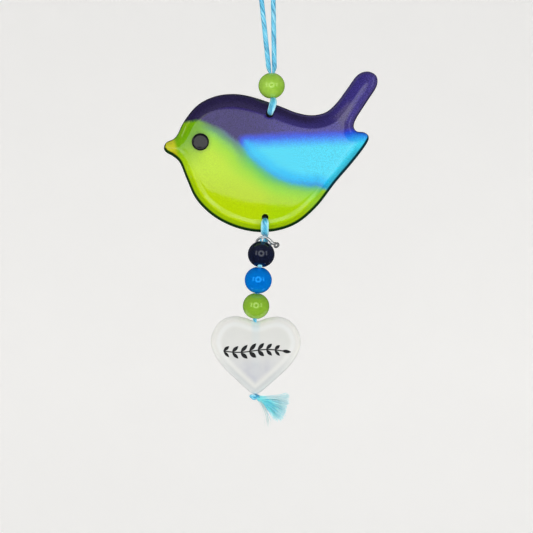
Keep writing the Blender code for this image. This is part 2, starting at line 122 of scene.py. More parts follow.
def limitLight(found, name, pieces):
    # these lamps light only these pieces
    lit = bpy.data.collections.new(name)
    for piece in pieces:
        lit.objects.link(piece)
    for lamp in found:
        lamp.light_linking.receiver_collection = lit


def buildStage():
    # a round room: a flat floor that curves up into a wall
    low = studio["floor"]
    bend = studio["wallRadius"] - studio["flatRadius"]
    profile = [(0.01, low), (studio["flatRadius"], low)]
    for angle in np.radians(np.arange(10, 91, 10)):
        profile.append((studio["flatRadius"] + bend * math.sin(angle), low + bend * (1 - math.cos(angle))))
    profile.append((studio["wallRadius"], studio["wallTop"]))
    room = turnedMesh("studioRoom", profile, 96, closed=False)
    paper = Paint("studioPaper", {"Roughness": 0.9, "Specular IOR Level": 0.1,
                                  "Emission Strength": studio["glow"]})
    grain = paper.noise(0.02, detail=3)
    white = paper.mix((*studio["paper"], 1), (*(part * 0.98 for part in studio["paper"]), 1), grain)
    paper.give("Base Color", white)
    paper.give("Emission Color", white)
    room.data.materials.append(paper.material)
    room.visible_glossy = False   # the glass mirrors the lamps and the sky, not the paper
    world = bpy.data.worlds.new("studioAir")
    bpy.context.scene.world = world
    world.use_nodes = True
    nodes, links = world.node_tree.nodes, world.node_tree.links
    where = nodes.new("ShaderNodeTexCoord")
    split = nodes.new("ShaderNodeSeparateXYZ")
    climb = nodes.new("ShaderNodeMapRange")
    climb.inputs["From Min"].default_value = -0.2
    climb.inputs["From Max"].default_value = 0.9
    blend = nodes.new("ShaderNodeMix")
    blend.data_type = "RGBA"
    blend.inputs[6].default_value = (*studio["skyLow"], 1)
    blend.inputs[7].default_value = (*studio["skyHigh"], 1)
    links.new(where.outputs["Generated"], split.inputs[0])
    links.new(split.outputs["Z"], climb.inputs["Value"])
    links.new(climb.outputs["Result"], blend.inputs[0])
    links.new(blend.outputs[2], nodes["Background"].inputs["Color"])


# Shader maths

class Wire:  # a shader socket that takes part in Python sums
    def __init__(self, paint, socket):
        self.paint = paint
        self.socket = socket

    def work(self, operation, *values):
        return self.paint.add("ShaderNodeMath", {"operation": operation}, dict(enumerate(values)))

    def __add__(self, other):
        return self.work("ADD", self, other)

    __radd__ = __add__

    def __sub__(self, other):
        return self.work("SUBTRACT", self, other)

    def __rsub__(self, other):
        return self.work("SUBTRACT", other, self)

    def __mul__(self, other):
        return self.work("MULTIPLY", self, other)

    __rmul__ = __mul__

    def __truediv__(self, other):
        return self.work("DIVIDE", self, other)

    def __rtruediv__(self, other):
        return self.work("DIVIDE", other, self)

    def least(self, other):
        return self.work("MINIMUM", self, other)

    def most(self, other):
        return self.work("MAXIMUM", self, other)

    def size(self):
        return self.work("ABSOLUTE", self)

    def sine(self):
        return self.work("SINE", self)

    def rest(self, step):  # what is left over after whole steps
        return self.work("FLOORED_MODULO", self, step)

    def soft(self, low, high):  # 0 below low, 1 above high, smooth between
        if low > high:
            return 1 - self.soft(high, low)
        inputs = {"Value": self, "From Min": low, "From Max": high}
        return self.paint.add("ShaderNodeMapRange", {"interpolation_type": "SMOOTHSTEP"}, inputs)


class Paint:  # one material with its Principled shader
    def __init__(self, name, plain):
        self.material = bpy.data.materials.new(name)
        self.material.use_nodes = True
        self.tree = self.material.node_tree
        self.shader = self.tree.nodes["Principled BSDF"]
        for socket, value in plain.items():
            self.shader.inputs[socket].default_value = value

    def add(self, kind, settings, inputs, output=0):
        node = self.tree.nodes.new(kind)
        for name, value in settings.items():
            setattr(node, name, value)
        for name, value in inputs.items():
            if isinstance(value, Wire):
                self.tree.links.new(value.socket, node.inputs[name])
            else:
                node.inputs[name].default_value = value
        return Wire(self, node.outputs[output])

    def mark(self, name):  # a number kept on the mesh's points
        return self.add("ShaderNodeAttribute", {"attribute_name": name}, {}, "Fac")

    def place(self):  # where the point is, in millimetres
        where = self.add("ShaderNodeTexCoord", {}, {}, "Object")
        return self.add("ShaderNodeVectorMath", {"operation": "SCALE"}, {0: where, "Scale": 1 / mm})

    def axes(self):
        where = self.place()
        return [self.add("ShaderNodeSeparateXYZ", {}, {0: where}, axis) for axis in "XYZ"]

    def noise(self, scale, detail=2.0, roughness=0.5, at=None, distortion=0.0):
        inputs = {"Vector": at or self.place(), "Scale": scale, "Detail": detail, "Roughness": roughness,
                  "Distortion": distortion}
        return self.add("ShaderNodeTexNoise", {}, inputs)

    def mix(self, first, second, share):
        return self.add("ShaderNodeMix", {"data_type": "RGBA"}, {0: share, 6: first, 7: second}, 2)

    def layers(self, colour, *coats):  # each coat is a colour and the share that it takes
        for coat, share in coats:
            colour = self.mix(colour, coat, share)
        return colour

    def give(self, socket, wire):
        self.tree.links.new(wire.socket, self.shader.inputs[socket])

    def cover(self, share, values):
        # a second plain shader over part of the surface
        top = self.add("ShaderNodeBsdfPrincipled", {}, values)
        under = Wire(self, self.shader.outputs[0])
        both = self.add("ShaderNodeMixShader", {}, {0: share, 1: under, 2: top})
        self.tree.links.new(both.socket, self.tree.nodes["Material Output"].inputs["Surface"])

    def bump(self, height, distance):
        inputs = {"Height": height, "Distance": distance * mm, "Strength": 1.0}
        self.give("Normal", self.add("ShaderNodeBump", {}, inputs))


def milky(weight, reach):
    # light that spreads under the surface, as far as reach
    return {"Subsurface Weight": weight, "Subsurface Scale": 1.0, "Subsurface Radius": (reach * mm,) * 3}


def tint(red, green, blue):
    # a colour as the eye reads it on a screen, made linear
    shares = (part / 255 for part in (red, green, blue))
    return (*(((share + 0.055) / 1.055) ** 2.4 if share > 0.04 else share / 12.92 for share in shares), 1)


# Mesh helpers

def addMesh(name, points, faces, marks=None):
    data = bpy.data.meshes.new(name)
    data.from_pydata([tuple(point) for point in np.asarray(points) * mm], [], faces)
    for mark, values in (marks or {}).items():
        values = np.asarray(values, np.float32)
        kind = "FLOAT" if values.ndim == 1 else "FLOAT_VECTOR"
        layer = data.attributes.new(mark, kind, "POINT")
        layer.data.foreach_set("value" if kind == "FLOAT" else "vector", values.ravel())
    shell = bmesh.new()
    shell.from_mesh(data)
    bmesh.ops.recalc_face_normals(shell, faces=shell.faces)
    shell.to_mesh(data)
    shell.free()
    data.shade_smooth()
    data.set_sharp_from_angle(angle=math.radians(sharpAngle))
    piece = bpy.data.objects.new(name, data)
    bpy.context.scene.collection.objects.link(piece)
    return piece


def dress(piece, paint, slot, *nodes):
    piece.data.materials.clear()
    piece.data.materials.append(paint.material)
    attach(piece, "root")
    if nodes:
        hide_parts(*nodes)
    return piece


def circleAngles(count):
    return np.arange(count) * 2 * math.pi / count


def gridFaces(rows, sides, closed=False):
    # four-sided faces between rows of points that each go once round
    faces = []
    for row in range(rows if closed else rows - 1):
        low, high = row * sides, (row + 1) % rows * sides
        for k in range(sides):
            other = (k + 1) % sides
            faces.append((low + k, low + other, high + other, high + k))
    return faces


def cappedFaces(rows, sides):
    return gridFaces(rows, sides) + [tuple(range(sides)), tuple(range((rows - 1) * sides, rows * sides))]


def headings(run, closed=False):
    # the direction along a run of points, at each of them
    along = np.roll(run, -1, axis=0) - np.roll(run, 1, axis=0) if closed else np.gradient(run, axis=0)
    return along / np.linalg.norm(along, axis=1)[:, None]


def inwardSides(outline):
    along = headings(outline, closed=True)
    return np.column_stack([along[:, 1], -along[:, 0]])


def turnedMesh(name, profile, sides, closed=True):
    # rows of points round the Z axis, from (radius, height)
    points = []
    for radius, height in profile:
        for turn in circleAngles(sides):
            points.append((radius * math.cos(turn), radius * math.sin(turn), height))
    return addMesh(name, points, gridFaces(len(profile), sides, closed))


def smoothCurve(corners, closed=False, perSpan=12):
    # a Catmull-Rom curve through the corners, with any number of axes
    corners = np.array(corners, float)
    count = len(corners)
    found = []
    for start in range(count if closed else count - 1):
        near = [start + k if not closed else (start + k) % count for k in (-1, 0, 1, 2)]
        a, b, c, d = (corners[min(max(k, 0), count - 1)] for k in near)
        for t in np.arange(perSpan) / perSpan:
            found.append(b + 0.5 * ((c - a) * t + (2 * a - 5 * b + 4 * c - d) * t**2
                                    + (3 * b - a - 3 * c + d) * t**3))
    if not closed:
        found.append(corners[-1])
    return np.array(found)


def evenSteps(curve, step, closed=False, axes=3):
    # the curve again, with its points one step apart
    if closed:
        curve = np.vstack([curve, curve[:1]])
    sides = np.linalg.norm(np.diff(curve[:, :axes], axis=0), axis=1)
    at = np.concatenate([[0.0], np.cumsum(sides)])
    count = max(int(round(at[-1] / step)), 3)
    wanted = np.linspace(0, at[-1], count, endpoint=False) if closed else np.linspace(0, at[-1], count + 1)
    return np.column_stack([np.interp(wanted, at, curve[:, axis]) for axis in range(curve.shape[1])])


def closedOutline(corners, step):
    return evenSteps(smoothCurve(corners, closed=True), step, closed=True, axes=2)


def nearest(points, line, closed):
    # distance to a line of points, and the index of the nearest side
    starts = line if closed else line[:-1]
    sides = (np.roll(line, -1, axis=0) if closed else line[1:]) - starts
    away, which = np.empty(len(points)), np.empty(len(points), int)
    for first in range(0, len(points), 2000):
        some = points[first:first + 2000, None, :] - starts[None]
        share = np.clip((some * sides[None]).sum(axis=2) / (sides**2).sum(axis=1)[None], 0, 1)[..., None]
        gap = np.linalg.norm(some - share * sides[None], axis=2)
        which[first:first + 2000] = gap.argmin(axis=1)
        away[first:first + 2000] = gap.min(axis=1)
    return away, which


# Fused glass slab: flat back, front rounded over to its edge, holes with melted rims

mesher = {
    "clear": 0.25,           # round a hole's rim
    "reached": 0.985,        # share of its depth that a ring's point has to keep
    "edge": 2.0,             # depth from which the rings' points lie further apart
    "edgeSpread": 0.55, "innerSpread": 0.8, "leastSpread": 0.12, "fieldSpread": 0.65,
    "rows": 0.87,            # of a triangle grid, closer than its points
    "relaxFrom": 1.6,
    "rimSteps": (0.06, 0.2, 0.42, 0.7, 1.0),
}


def slabMesh(name, outline, holes, size):
    back = size["thickness"] / 2
    count = len(outline)
    inward = inwardSides(outline)
    turn = circleAngles(size["holeSides"])
    circle = np.column_stack([np.cos(turn), np.sin(turn)])

    def insideHoles(points, margin):
        clear = np.ones(len(points), bool)
        for x, z, radius in holes:
            clear &= np.linalg.norm(points - (x, z), axis=1) > radius + margin
        return clear

    def layOut(depths, grid, rimSteps):
        # the outline and the holes first, then rings, then a grid
        kept = np.vstack([outline] + [circle * radius + (x, z) for x, z, radius in holes])
        edges = []
        first = count
        for _ in holes:
            sides = size["holeSides"]
            edges += [(first + k, first + (k + 1) % sides) for k in range(sides)]
            first += sides
        rims = [circle * (radius + away) + (x, z) for x, z, radius in holes for away in rimSteps]
        kept = np.vstack([kept] + rims) if rims else kept
        margin = (rimSteps[-1] if rimSteps else 0) + mesher["clear"]
        for depth in depths:
            ring = outline + inward * depth
            reached = nearest(ring, outline, True)[0] >= depth * mesher["reached"]
            spread = mesher["edgeSpread" if depth < mesher["edge"] else "innerSpread"] * size["step"]
            spread = min(spread, mesher["leastSpread"] + depth * 0.5)
            kept = thinned(kept, ring[reached & insideHoles(ring, margin)], spread)
        low, high = outline.min(axis=0), outline.max(axis=0)
        across = np.arange(low[0], high[0], grid)
        xs, zs = np.meshgrid(across, np.arange(low[1], high[1], grid * mesher["rows"]))
        xs[::2] += grid / 2
        field = np.column_stack([xs.ravel(), zs.ravel()])
        field = field[insideLoop(field, outline) & insideHoles(field, margin)]
        field = field[nearest(field, outline, True)[0] > depths[-1] + grid * 0.5]
        kept = thinned(kept, field, grid * mesher["fieldSpread"])
        flat = [Vector(point) for point in kept]
        points, _, faces, *_ = delaunay_2d_cdt(flat, edges, [tuple(range(count))], 1, 1e-7)
        if len(points) != len(kept):
            raise ValueError(f"{name}: two points of a face coincide")
        faces = [face for face in faces if insideHoles(kept[list(face)].mean(axis=0)[None], 0)[0]]
        return kept, faces

    def rimDrop(points, rim):
        drop = np.zeros(len(points))
        for x, z, radius in holes:
            away = np.clip((np.linalg.norm(points - (x, z), axis=1) - radius) / rim, 0, 1)
            drop = np.maximum(drop, rim * (1 - np.sqrt(1 - (1 - away) ** 2)))
        return drop

    rim = size["rim"]
    rimSteps = [rim * share for share in mesher["rimSteps"]]
    front, frontFaces = layOut(size["rings"], size["grid"], rimSteps if holes else [])
    depth, side = nearest(front, outline, True)
    depth[:count] = 0
    share = np.clip(depth / size["band"], 0, 1)
    fall = (1 - (1 - share) ** size["power"]) ** (1 / size["power"])
    height = size["edgeHeight"] + (size["thickness"] - size["edgeHeight"]) * fall
    height = relaxed(height, frontFaces, depth > mesher["relaxFrom"], size["relax"])
    middle = np.clip(depth / size["crownReach"], 0, 1)
    height += size["crown"] * (1 - (1 - middle) ** 2) - rimDrop(front, rim)

    rear, rearFaces = layOut(size["backRings"], size["grid"] * 4, rimSteps[::2] if holes else [])
    rearDepth, rearSide = nearest(rear, outline, True)
    rearShare = np.clip(rearDepth / size["backBand"], 0, 1)
    lift = size["edgeHeight"] * (1 - np.sqrt(1 - (1 - rearShare) ** 2)) + rimDrop(rear, rim * 0.6)

    points = [(x, back - up, z) for (x, z), up in zip(front, height)]
    points += [(x, back - up, z) for (x, z), up in zip(rear[count:], lift[count:])]
    shift = len(front) - count
    faces = list(frontFaces) + [tuple(k if k < count else k + shift for k in face) for face in rearFaces]
    for number in range(len(holes)):  # walls of the holes
        first = count + number * size["holeSides"]
        for k in range(size["holeSides"]):
            other = first + (k + 1) % size["holeSides"]
            faces.append((first + k, other, other + shift, first + k + shift))
    marks = {
        "depth": np.concatenate([depth, rearDepth[count:]]),
        "edgeFacesDown": inward[np.concatenate([side, rearSide[count:]]), 1],
    }
    if holes:
        flat = np.vstack([front, rear[count:]])
        away = [np.linalg.norm(flat - (x, z), axis=1) - radius for x, z, radius in holes]
        marks["holeAway"] = np.min(away, axis=0)
    return np.array(points), faces, marks


def insideLoop(points, loop):
    # how often a ray to the right crosses the loop
    crossed = np.zeros(len(points), bool)
    for (x1, z1), (x2, z2) in zip(loop, np.roll(loop, -1, axis=0)):
        spans = (z1 > points[:, 1]) != (z2 > points[:, 1])
        if z1 != z2:
            crossed ^= spans & (points[:, 0] < x1 + (points[:, 1] - z1) * (x2 - x1) / (z2 - z1))
    return crossed


def thinned(kept, more, apart):
    # adds the points that stay apart from all those kept
    store = np.empty((len(kept) + len(more), 2))
    store[:len(kept)] = kept
    count = len(kept)
    for point in more:
        if ((store[:count] - point) ** 2).sum(axis=1).min() >= apart**2:
            store[count] = point
            count += 1
    return store[:count]


def relaxed(values, faces, free, rounds):
    # smooths a number over a triangle mesh where it is free
    corners = np.array([face[:3] for face in faces])
    pairs = np.vstack([corners[:, [0, 1]], corners[:, [1, 2]], corners[:, [2, 0]]])
    pairs = np.vstack([pairs, pairs[:, ::-1]])
    times = np.bincount(pairs[:, 0], minlength=len(values))
    for _ in range(rounds):
        mean = np.bincount(pairs[:, 0], values[pairs[:, 1]], minlength=len(values)) / np.maximum(times, 1)
        values = np.where(free & (times > 0), 0.5 * values + 0.5 * mean, values)
    return values


# Bird

bird = {
    "place": (0.0, 0.0, -99.4),
    "outline": [
        (-38.2, 4.7), (-37.3, 6.9), (-34.6, 8.2),                                          # beak
        (-32.9, 10.1), (-30.2, 15.4), (-25.2, 21.4), (-18.6, 24.8), (-11.4, 25.8),          # head
        (-4.0, 24.7), (6.5, 21.2), (13.5, 18.5), (19.6, 17.5), (25.0, 18.7), (29.2, 22.3),  # back
        (33.2, 27.6), (37.4, 33.2), (41.4, 34.6), (44.6, 32.8), (44.6, 28.9), (40.9, 23.0), (36.8, 16.6),
        (35.7, 13.2), (37.0, 11.2), (39.9, 10.8), (41.6, 9.1), (40.4, 6.0),                 # under the tail
        (35.5, -0.5), (28.5, -8.7), (21.0, -18.3), (12.5, -25.1), (2.0, -27.9),             # belly
        (-8.4, -26.7), (-18.1, -22.3), (-25.4, -15.4), (-29.3, -7.3),
        (-31.9, -1.0), (-34.7, 1.7), (-37.2, 3.1),                                          # throat
    ],
    "holes": [(3.0, 17.85, 1.45), (1.2, -22.4, 1.2)],
    "size": {
        "thickness": 5.7, "edgeHeight": 1.2, "band": 5.0, "power": 3.0, "backBand": 1.0,
        "crown": 0.5, "crownReach": 22.0, "grow": 0.15,
        "step": 0.6, "grid": 0.62, "relax": 10, "rim": 0.25, "holeSides": 36,
        "rings": (0.05, 0.18, 0.4, 0.7, 1.05, 1.5, 2.0),
        "backRings": (0.08, 0.3, 0.6, 1.0, 1.8, 3.0),
    },
    # where the coloured powders meet, as (x, z)
    "headLine": [(-42.0, 14.6), (-30.0, 14.7), (-27.6, 14.9), (-24.6, 15.1), (-22.4, 14.7), (-19.8, 13.8),
                 (-17.2, 12.6), (-14.5, 11.0), (-12.6, 9.5), (-10.0, 7.6), (-9.0, 6.6)],
    "wingTop": [(-9.0, 6.6), (-8.2, 8.7), (-6.5, 9.3), (-4.0, 9.4), (2.0, 9.8), (9.0, 10.1), (18.3, 10.5),
                (27.7, 10.9), (32.8, 11.1), (36.0, 11.9), (46.0, 13.0)],
    "wingFoot": [(-9.0, 6.6), (-6.9, 4.0), (-4.9, 1.2), (-2.3, -1.1), (0.3, -3.3), (3.5, -5.9), (9.8, -8.8),
                 (16.0, -10.1), (21.5, -10.5), (25.4, -11.9), (34.0, -15.5)],
    "purpleLeft": tint(50, 38, 105), "purpleRight": tint(68, 60, 140),
    "purpleRimLeft": tint(36, 28, 68), "purpleRimRight": tint(56, 47, 124),
    "purpleShoulderLeft": tint(50, 43, 80), "purpleShoulderRight": tint(54, 47, 112),
    "purpleTailReflection": tint(75, 67, 138), "purpleRoot": tint(84, 76, 120), "purpleEdgeSheen": tint(72, 64, 114),
    "indigo": tint(54, 63, 192), "royal": tint(37, 86, 224), "azure": tint(43, 144, 246),
    "cyan": tint(65, 215, 245), "cyanRimShade": tint(54, 172, 200),
    "wingShade": tint(0, 190, 246), "wingDeep": tint(0, 142, 214),
    "leaf": tint(74, 184, 124), "meadow": tint(112, 202, 66), "lime": tint(188, 226, 28),
    "grass": tint(155, 218, 30), "grassRight": tint(130, 226, 48),
    "crescentShade": tint(184, 216, 0), "crescentShadeRight": tint(172, 214, 0),
    "moss": tint(110, 170, 0), "limeRim": tint(152, 188, 0), "limeRimRight": tint(146, 198, 44),
    "browEdge": tint(84, 116, 90), "crownEdge": tint(86, 118, 136), "crownLeaf": tint(95, 149, 106),
    "crownMeadow": tint(119, 190, 92),
    "yellow": tint(197, 199, 42), "gold": tint(170, 171, 0),
    "edgeShade": tint(16, 50, 20), "edgeShadePurple": tint(24, 18, 44), "edgeShadeBlue": tint(14, 50, 60),
}


def birdPaint():
    paint = Paint("birdGlass", {"Roughness": 0.06, "IOR": 1.5})
    x, _, z = paint.axes()
    z = z - bird["place"][2]
    depth = paint.mark("depth")
    powder = paint.noise(2.2, detail=3, roughness=0.7) - 0.5
    cloud = paint.noise(0.3, detail=2) - 0.5
    purpleSide = paint.mark("purpleSide") + powder * 2.2 + cloud * 1.0
    greenSide = paint.mark("greenSide") + powder * 1.8 + cloud * 1.0
    rightward = x.soft(-8, 18)
    tailward = x.soft(15, 36)

    # head and back: purple powder; its rounded rim is darker than the flat face, partly the glass's own
    # colour and partly a painted reflection that lightens the flat face
    purple = paint.mix(bird["purpleLeft"], bird["purpleRight"], rightward)
    rim = paint.mix(bird["purpleRimLeft"], bird["purpleRimRight"], tailward)
    shoulder = paint.mix(bird["purpleShoulderLeft"], bird["purpleShoulderRight"], rightward)
    rim = paint.mix(rim, shoulder, depth.soft(2.2, 5.0) * (1 - tailward))
    purple = paint.mix(purple, rim, depth.soft(5.9, 5.1))
    # painted reflection: the tail's lower right side is lighter
    purple = paint.mix(purple, bird["purpleTailReflection"], (x * 0.851 - z * 0.525).soft(16.5, 20) * tailward * 0.75)
    root = ((x - 31.5).size() + (z - 19).size()).soft(9, 3) * depth.soft(2.4, 4)
    purple = paint.mix(purple, bird["purpleRoot"], root * 0.8)
    # painted highlight: a lighter line just inside the edge, on the right
    edgeSheen = depth.soft(0.4, 0.7) * depth.soft(1.4, 0.9)
    purple = paint.mix(purple, bird["purpleEdgeSheen"], edgeSheen * rightward * 0.8)

    # wing: royal blue under the purple, cyan in the middle, deeper blue along its foot
    wing = paint.mix(bird["azure"], bird["cyan"], purpleSide.soft(-2.2, -6.5))
    wing = paint.layers(
        wing,
        (bird["wingShade"], greenSide.soft(-6.2, -2.4) * (0.6 + x.soft(-4, 12) * 0.4)),
        (bird["wingDeep"], greenSide.soft(-2.6, -0.4) * (0.5 + x.soft(8, 24) * 0.5)),
        # painted shade: the wing's lower rim is darker
        (bird["cyanRimShade"], depth.soft(3.6, 1.2) * z.soft(7, 2) * 0.9),
        (bird["royal"], purpleSide.soft(-3.2, -0.9)),
        (bird["indigo"], purpleSide.soft(-1.3, 0.1)),
    )

    # body: lime, greener beside the wing, mossy on the brow, clear yellow on the beak
    green = paint.mix(bird["leaf"], bird["meadow"], greenSide.soft(0.2, 2.8))
    head = paint.mix(bird["browEdge"], bird["crownEdge"], x.soft(-20, -13))
    head = paint.mix(head, bird["crownLeaf"], greenSide.soft(0.2, 2.0))
    head = paint.mix(head, bird["crownMeadow"], greenSide.soft(1.6, 3.8))
    green = paint.mix(green, head, x.soft(-5, -11))
    grass = paint.mix(bird["grass"], bird["grassRight"], x.soft(-5, 7))
    green = paint.mix(green, grass, greenSide.soft(1.6, 6.0))
    green = paint.mix(green, bird["lime"], greenSide.soft(4.0, 11.0) * (0.2 + x.soft(13, -9) * 0.8))
    # painted shade: a deeper lime crescent on the lower belly, below the reflection on the flat face
    crescentShade = paint.mix(bird["crescentShade"], bird["crescentShadeRight"], x.soft(-2, 6))
    green = paint.mix(green, crescentShade, (z * -1 + x * -0.2).soft(6, 16))
    brow = ((x + 30) * 0.5 + 12.5 - z).soft(21, 2) * x.soft(-18, -26)
    green = paint.mix(green, bird["moss"], brow)
    # the body's rounded rim is darker, partly the glass's own colour and partly painted shade
    limeRim = paint.mix(bird["limeRim"], bird["limeRimRight"], x.soft(8, 16) * z.soft(-21.5, -17))
    green = paint.mix(green, limeRim, depth.soft(2.9, 2.2) * x.soft(-34, -24))
    beak = paint.mix(bird["yellow"], bird["gold"], (z * -1 + 4.2).soft(0, 2.2) * 0.85)
    green = paint.mix(green, beak, (x + z * 0.25 + powder * 1.2).soft(-31.2, -33.2))

    purpleShare = purpleSide.soft(-0.5, 1.3).most(x.soft(-8.4, -10.0))   # none of the wing's blue on the head
    colour = paint.mix(wing, purple, purpleShare)
    greenShare = greenSide.soft(-0.9, 0.9)
    colour = paint.mix(colour, green, greenShare)
    halo = ((x + 23.9).size() * (x + 23.9).size() + (z - 6.9).size() * (z - 6.9).size()).soft(24, 9)
    colour = paint.mix(colour, tint(70, 92, 50), halo * 0.3)
    strength = 0.6 + (1 - greenShare) * (0.7 + purpleShare * 1.9)
    grain = 1 + (paint.noise(3.0, detail=2, roughness=0.75) - 0.5) * strength
    colour = paint.add("ShaderNodeVectorMath", {"operation": "SCALE"}, {0: colour, "Scale": grain})
    paint.give("Base Color", colour)
    paint.give("Roughness", 0.03 + paint.noise(0.6) * 0.03)
    ripple = paint.noise(0.11, detail=1) * 0.5 + paint.noise(0.5, detail=1) * 0.02
    paint.bump(ripple, 0.025)

    # painted shade: a dark cover over the glass's outer edge, partly its own darker edge, wider where the
    # edge faces down, and over the rims of its holes
    width = (0.44 + paint.mark("edgeFacesDown").soft(-0.6, 0.6) * 0.62) * (1 - tailward * purpleShare * 0.6)
    line = (depth / width).soft(1.25, 0.75).most(paint.mark("holeAway").soft(0.2, 0.06))
    edgeShade = paint.mix(bird["edgeShade"], bird["edgeShadeBlue"], greenSide.soft(0.5, -0.5))
    edgeShade = paint.mix(edgeShade, bird["edgeShadePurple"], purpleSide.soft(-0.6, 0.6))
    paint.cover(line, {"Base Color": edgeShade, "Roughness": 0.3, "Specular IOR Level": 0.0})
    return paint


def buildBird():
    outline = closedOutline(bird["outline"], bird["size"]["step"])
    outline -= inwardSides(outline) * bird["size"]["grow"]
    points, faces, marks = slabMesh("bird", outline, bird["holes"], bird["size"])
    flat = points[:, [0, 2]]
    headLine = smoothCurve(bird["headLine"], perSpan=6)
    for mark, right, up in (("purpleSide", bird["wingTop"], 1), ("greenSide", bird["wingFoot"], -1)):
        line = np.vstack([headLine, smoothCurve(right, perSpan=6)[1:]])
        away, _ = nearest(flat, line, False)
        marks[mark] = away * np.sign(flat[:, 1] - np.interp(flat[:, 0], line[:, 0], line[:, 1])) * up
    piece = addMesh("glassBird", points + bird["place"], faces, marks)
    return dress(piece, birdPaint(), "bird_glass", "bird")


# Eye

eye = {
    "place": (-23.9, -3.05, -92.5),
    "radius": 3.4, "dome": 0.55, "shoulder": 0.95, "crown": 0.06, "sunk": 0.9,
}


def buildEye():
    radius, dome, shoulder = eye["radius"], eye["dome"], eye["shoulder"]
    profile = [(0.02, -eye["sunk"]), (radius * 0.96, -eye["sunk"]), (radius, -eye["sunk"] * 0.5), (radius, 0)]
    for angle in np.radians(np.arange(10, 91, 10)):
        profile.append((radius - shoulder * (1 - math.cos(angle)), dome * math.sin(angle)))
    for share in (0.8, 0.55, 0.3, 0.12, 0.005):
        inner = (radius - shoulder) * share
        profile.append((inner, dome + eye["crown"] * (1 - share**2)))
    piece = turnedMesh("blackEye", profile, 64)
    piece.data.transform(turnTo((0, -1, 0), eye["place"]))
    paint = Paint("blackGlass", {"Roughness": 0.05, "IOR": 1.52})
    fleck = paint.noise(1.6, detail=3)
    paint.give("Base Color", paint.mix(tint(12, 12, 15), tint(34, 33, 40), fleck.soft(0.5, 0.75)))
    paint.give("Roughness", 0.04 + paint.noise(0.9) * 0.06)
    paint.bump(paint.noise(0.4, detail=1), 0.03)
    return dress(piece, paint, "black_glass", "eye")


def turnTo(direction, place):
    # lays the Z axis along a direction and moves it to its place
    turned = Vector((0, 0, 1)).rotation_difference(Vector(direction)).to_matrix().to_4x4()
    turned.translation = Vector(place) * mm
    return turned


# Beads

beads = {
    "wide": 1.02, "bore": 1.25, "rim": 0.35, "sides": 72, "steps": 40,
    # name: node, place, radius, direction of the bore, slot, body, deep and light colour, IOR, gloss tint
    "topGreenBead": ("top_bead", (3.75, 0.0, -70.4), 5.05, (0.0, 0.0, 1.0), "green_glass",
                     tint(156, 202, 70), tint(136, 188, 50), tint(178, 214, 102), 1.63, (0.8, 1.0, 0.5)),
    "navyBead": ("navy_bead", (-0.3, -1.9, -136.1), 5.12, (2.1, 1.8, 20.2), "navy_glass",
                 tint(14, 19, 42), tint(6, 10, 34), tint(28, 31, 56), 1.37, (0.9, 0.95, 1.0)),
    "blueBead": ("blue_bead", (-1.45, -1.3, -146.2), 5.2, (2.1, -1.2, 20.2), "blue_glass",
                 tint(0, 124, 224), tint(0, 110, 208), tint(0, 130, 232), 2.1, (0.03, 0.42, 1.0)),
    "lowerGreenBead": ("green_bead", (-2.3, -0.7, -156.3), 5.07, (2.1, -1.2, 20.2), "green_glass",
                       tint(135, 182, 48), tint(122, 172, 32), tint(156, 198, 84), 1.66, (0.85, 1.0, 0.5)),
}


def beadProfile(radius):
    # up the outside, round the mouth, down the bore
    bore, rim = beads["bore"], beads["rim"]
    start = math.asin((bore + rim) / radius)
    outside = []
    for share in np.arange(beads["steps"] + 1) / beads["steps"]:
        angle = start + (math.pi - 2 * start) * share
        outside.append((radius * beads["wide"] * math.sin(angle), -radius * math.cos(angle)))
    top = outside[-1][1]
    mouth = [(bore + rim * (1 - math.sin(a)), top - rim * 0.75 * (1 - math.cos(a)))
             for a in np.radians((22, 45, 67, 90))]
    foot = [(r, -z) for r, z in reversed(mouth)]
    return foot + outside + mouth


def beadPaint(name, body, deep, light, bending, glossTint):
    paint = Paint(name, {"IOR": bending, "Specular IOR Level": 1.0, "Specular Tint": (*glossTint, 1),
                         **milky(0.12, 1.0)})
    swirl = paint.noise(0.16, detail=2, distortion=0.8)
    colour = paint.mix(body, deep, swirl.soft(0.46, 0.72) * 0.7)
    colour = paint.mix(colour, light, swirl.soft(0.48, 0.26) * 0.4)
    bubble = paint.noise(2.2, detail=1)
    colour = paint.mix(colour, light, bubble.soft(0.66, 0.74) * 0.2)
    paint.give("Base Color", colour)
    paint.give("Roughness", 0.05 + paint.noise(0.5) * 0.04)
    paint.bump(paint.noise(0.25, detail=1), 0.03)
    return paint


def buildBeads():
    built = []
    for name, told in beads.items():
        if isinstance(told, tuple):
            node, place, radius, direction, slot, *glass = told
            piece = turnedMesh(name, beadProfile(radius), beads["sides"])
            piece.data.transform(turnTo(direction, place))
            built.append(dress(piece, beadPaint(name + "Glass", *glass), slot, node))
    return built


# Heart

heart = {
    "place": (-2.4, 0.0, -169.5),
    "tilt": 0.8,
    "half": [(4.3, 8.5), (8.6, 9.1), (12.8, 7.8), (15.9, 4.6), (17.6, -0.4), (16.4, -5.4), (13.0, -10.4),
             (8.2, -15.1), (4.4, -18.5), (1.9, -20.6)],
    "notch": (0.0, 7.2), "tip": (0.0, -21.3),
    "size": {
        "thickness": 6.0, "edgeHeight": 1.4, "band": 3.8, "power": 2.2, "backBand": 1.0,
        "crown": 0.12, "crownReach": 12.0,
        "step": 0.6, "grid": 0.62, "relax": 24, "rim": 0.4, "holeSides": 24,
        "rings": (0.05, 0.18, 0.4, 0.7, 1.05, 1.5, 2.0),
        "backRings": (0.08, 0.3, 0.6, 1.0, 1.8, 3.0),
    },
    "sprig": {
        "left": -12.6, "right": 10.4, "height": -4.2, "wave": 0.55, "step": 3.3, "leaf": 4.0, "slim": 0.85,
        "slant": 44, "taper": 0.3, "stem": (0.30, 0.18), "edge": (-0.04, 0.10),
        "tipPast": 1.5, "tipHalf": 1.9, "tipSlim": 0.7,
    },
}


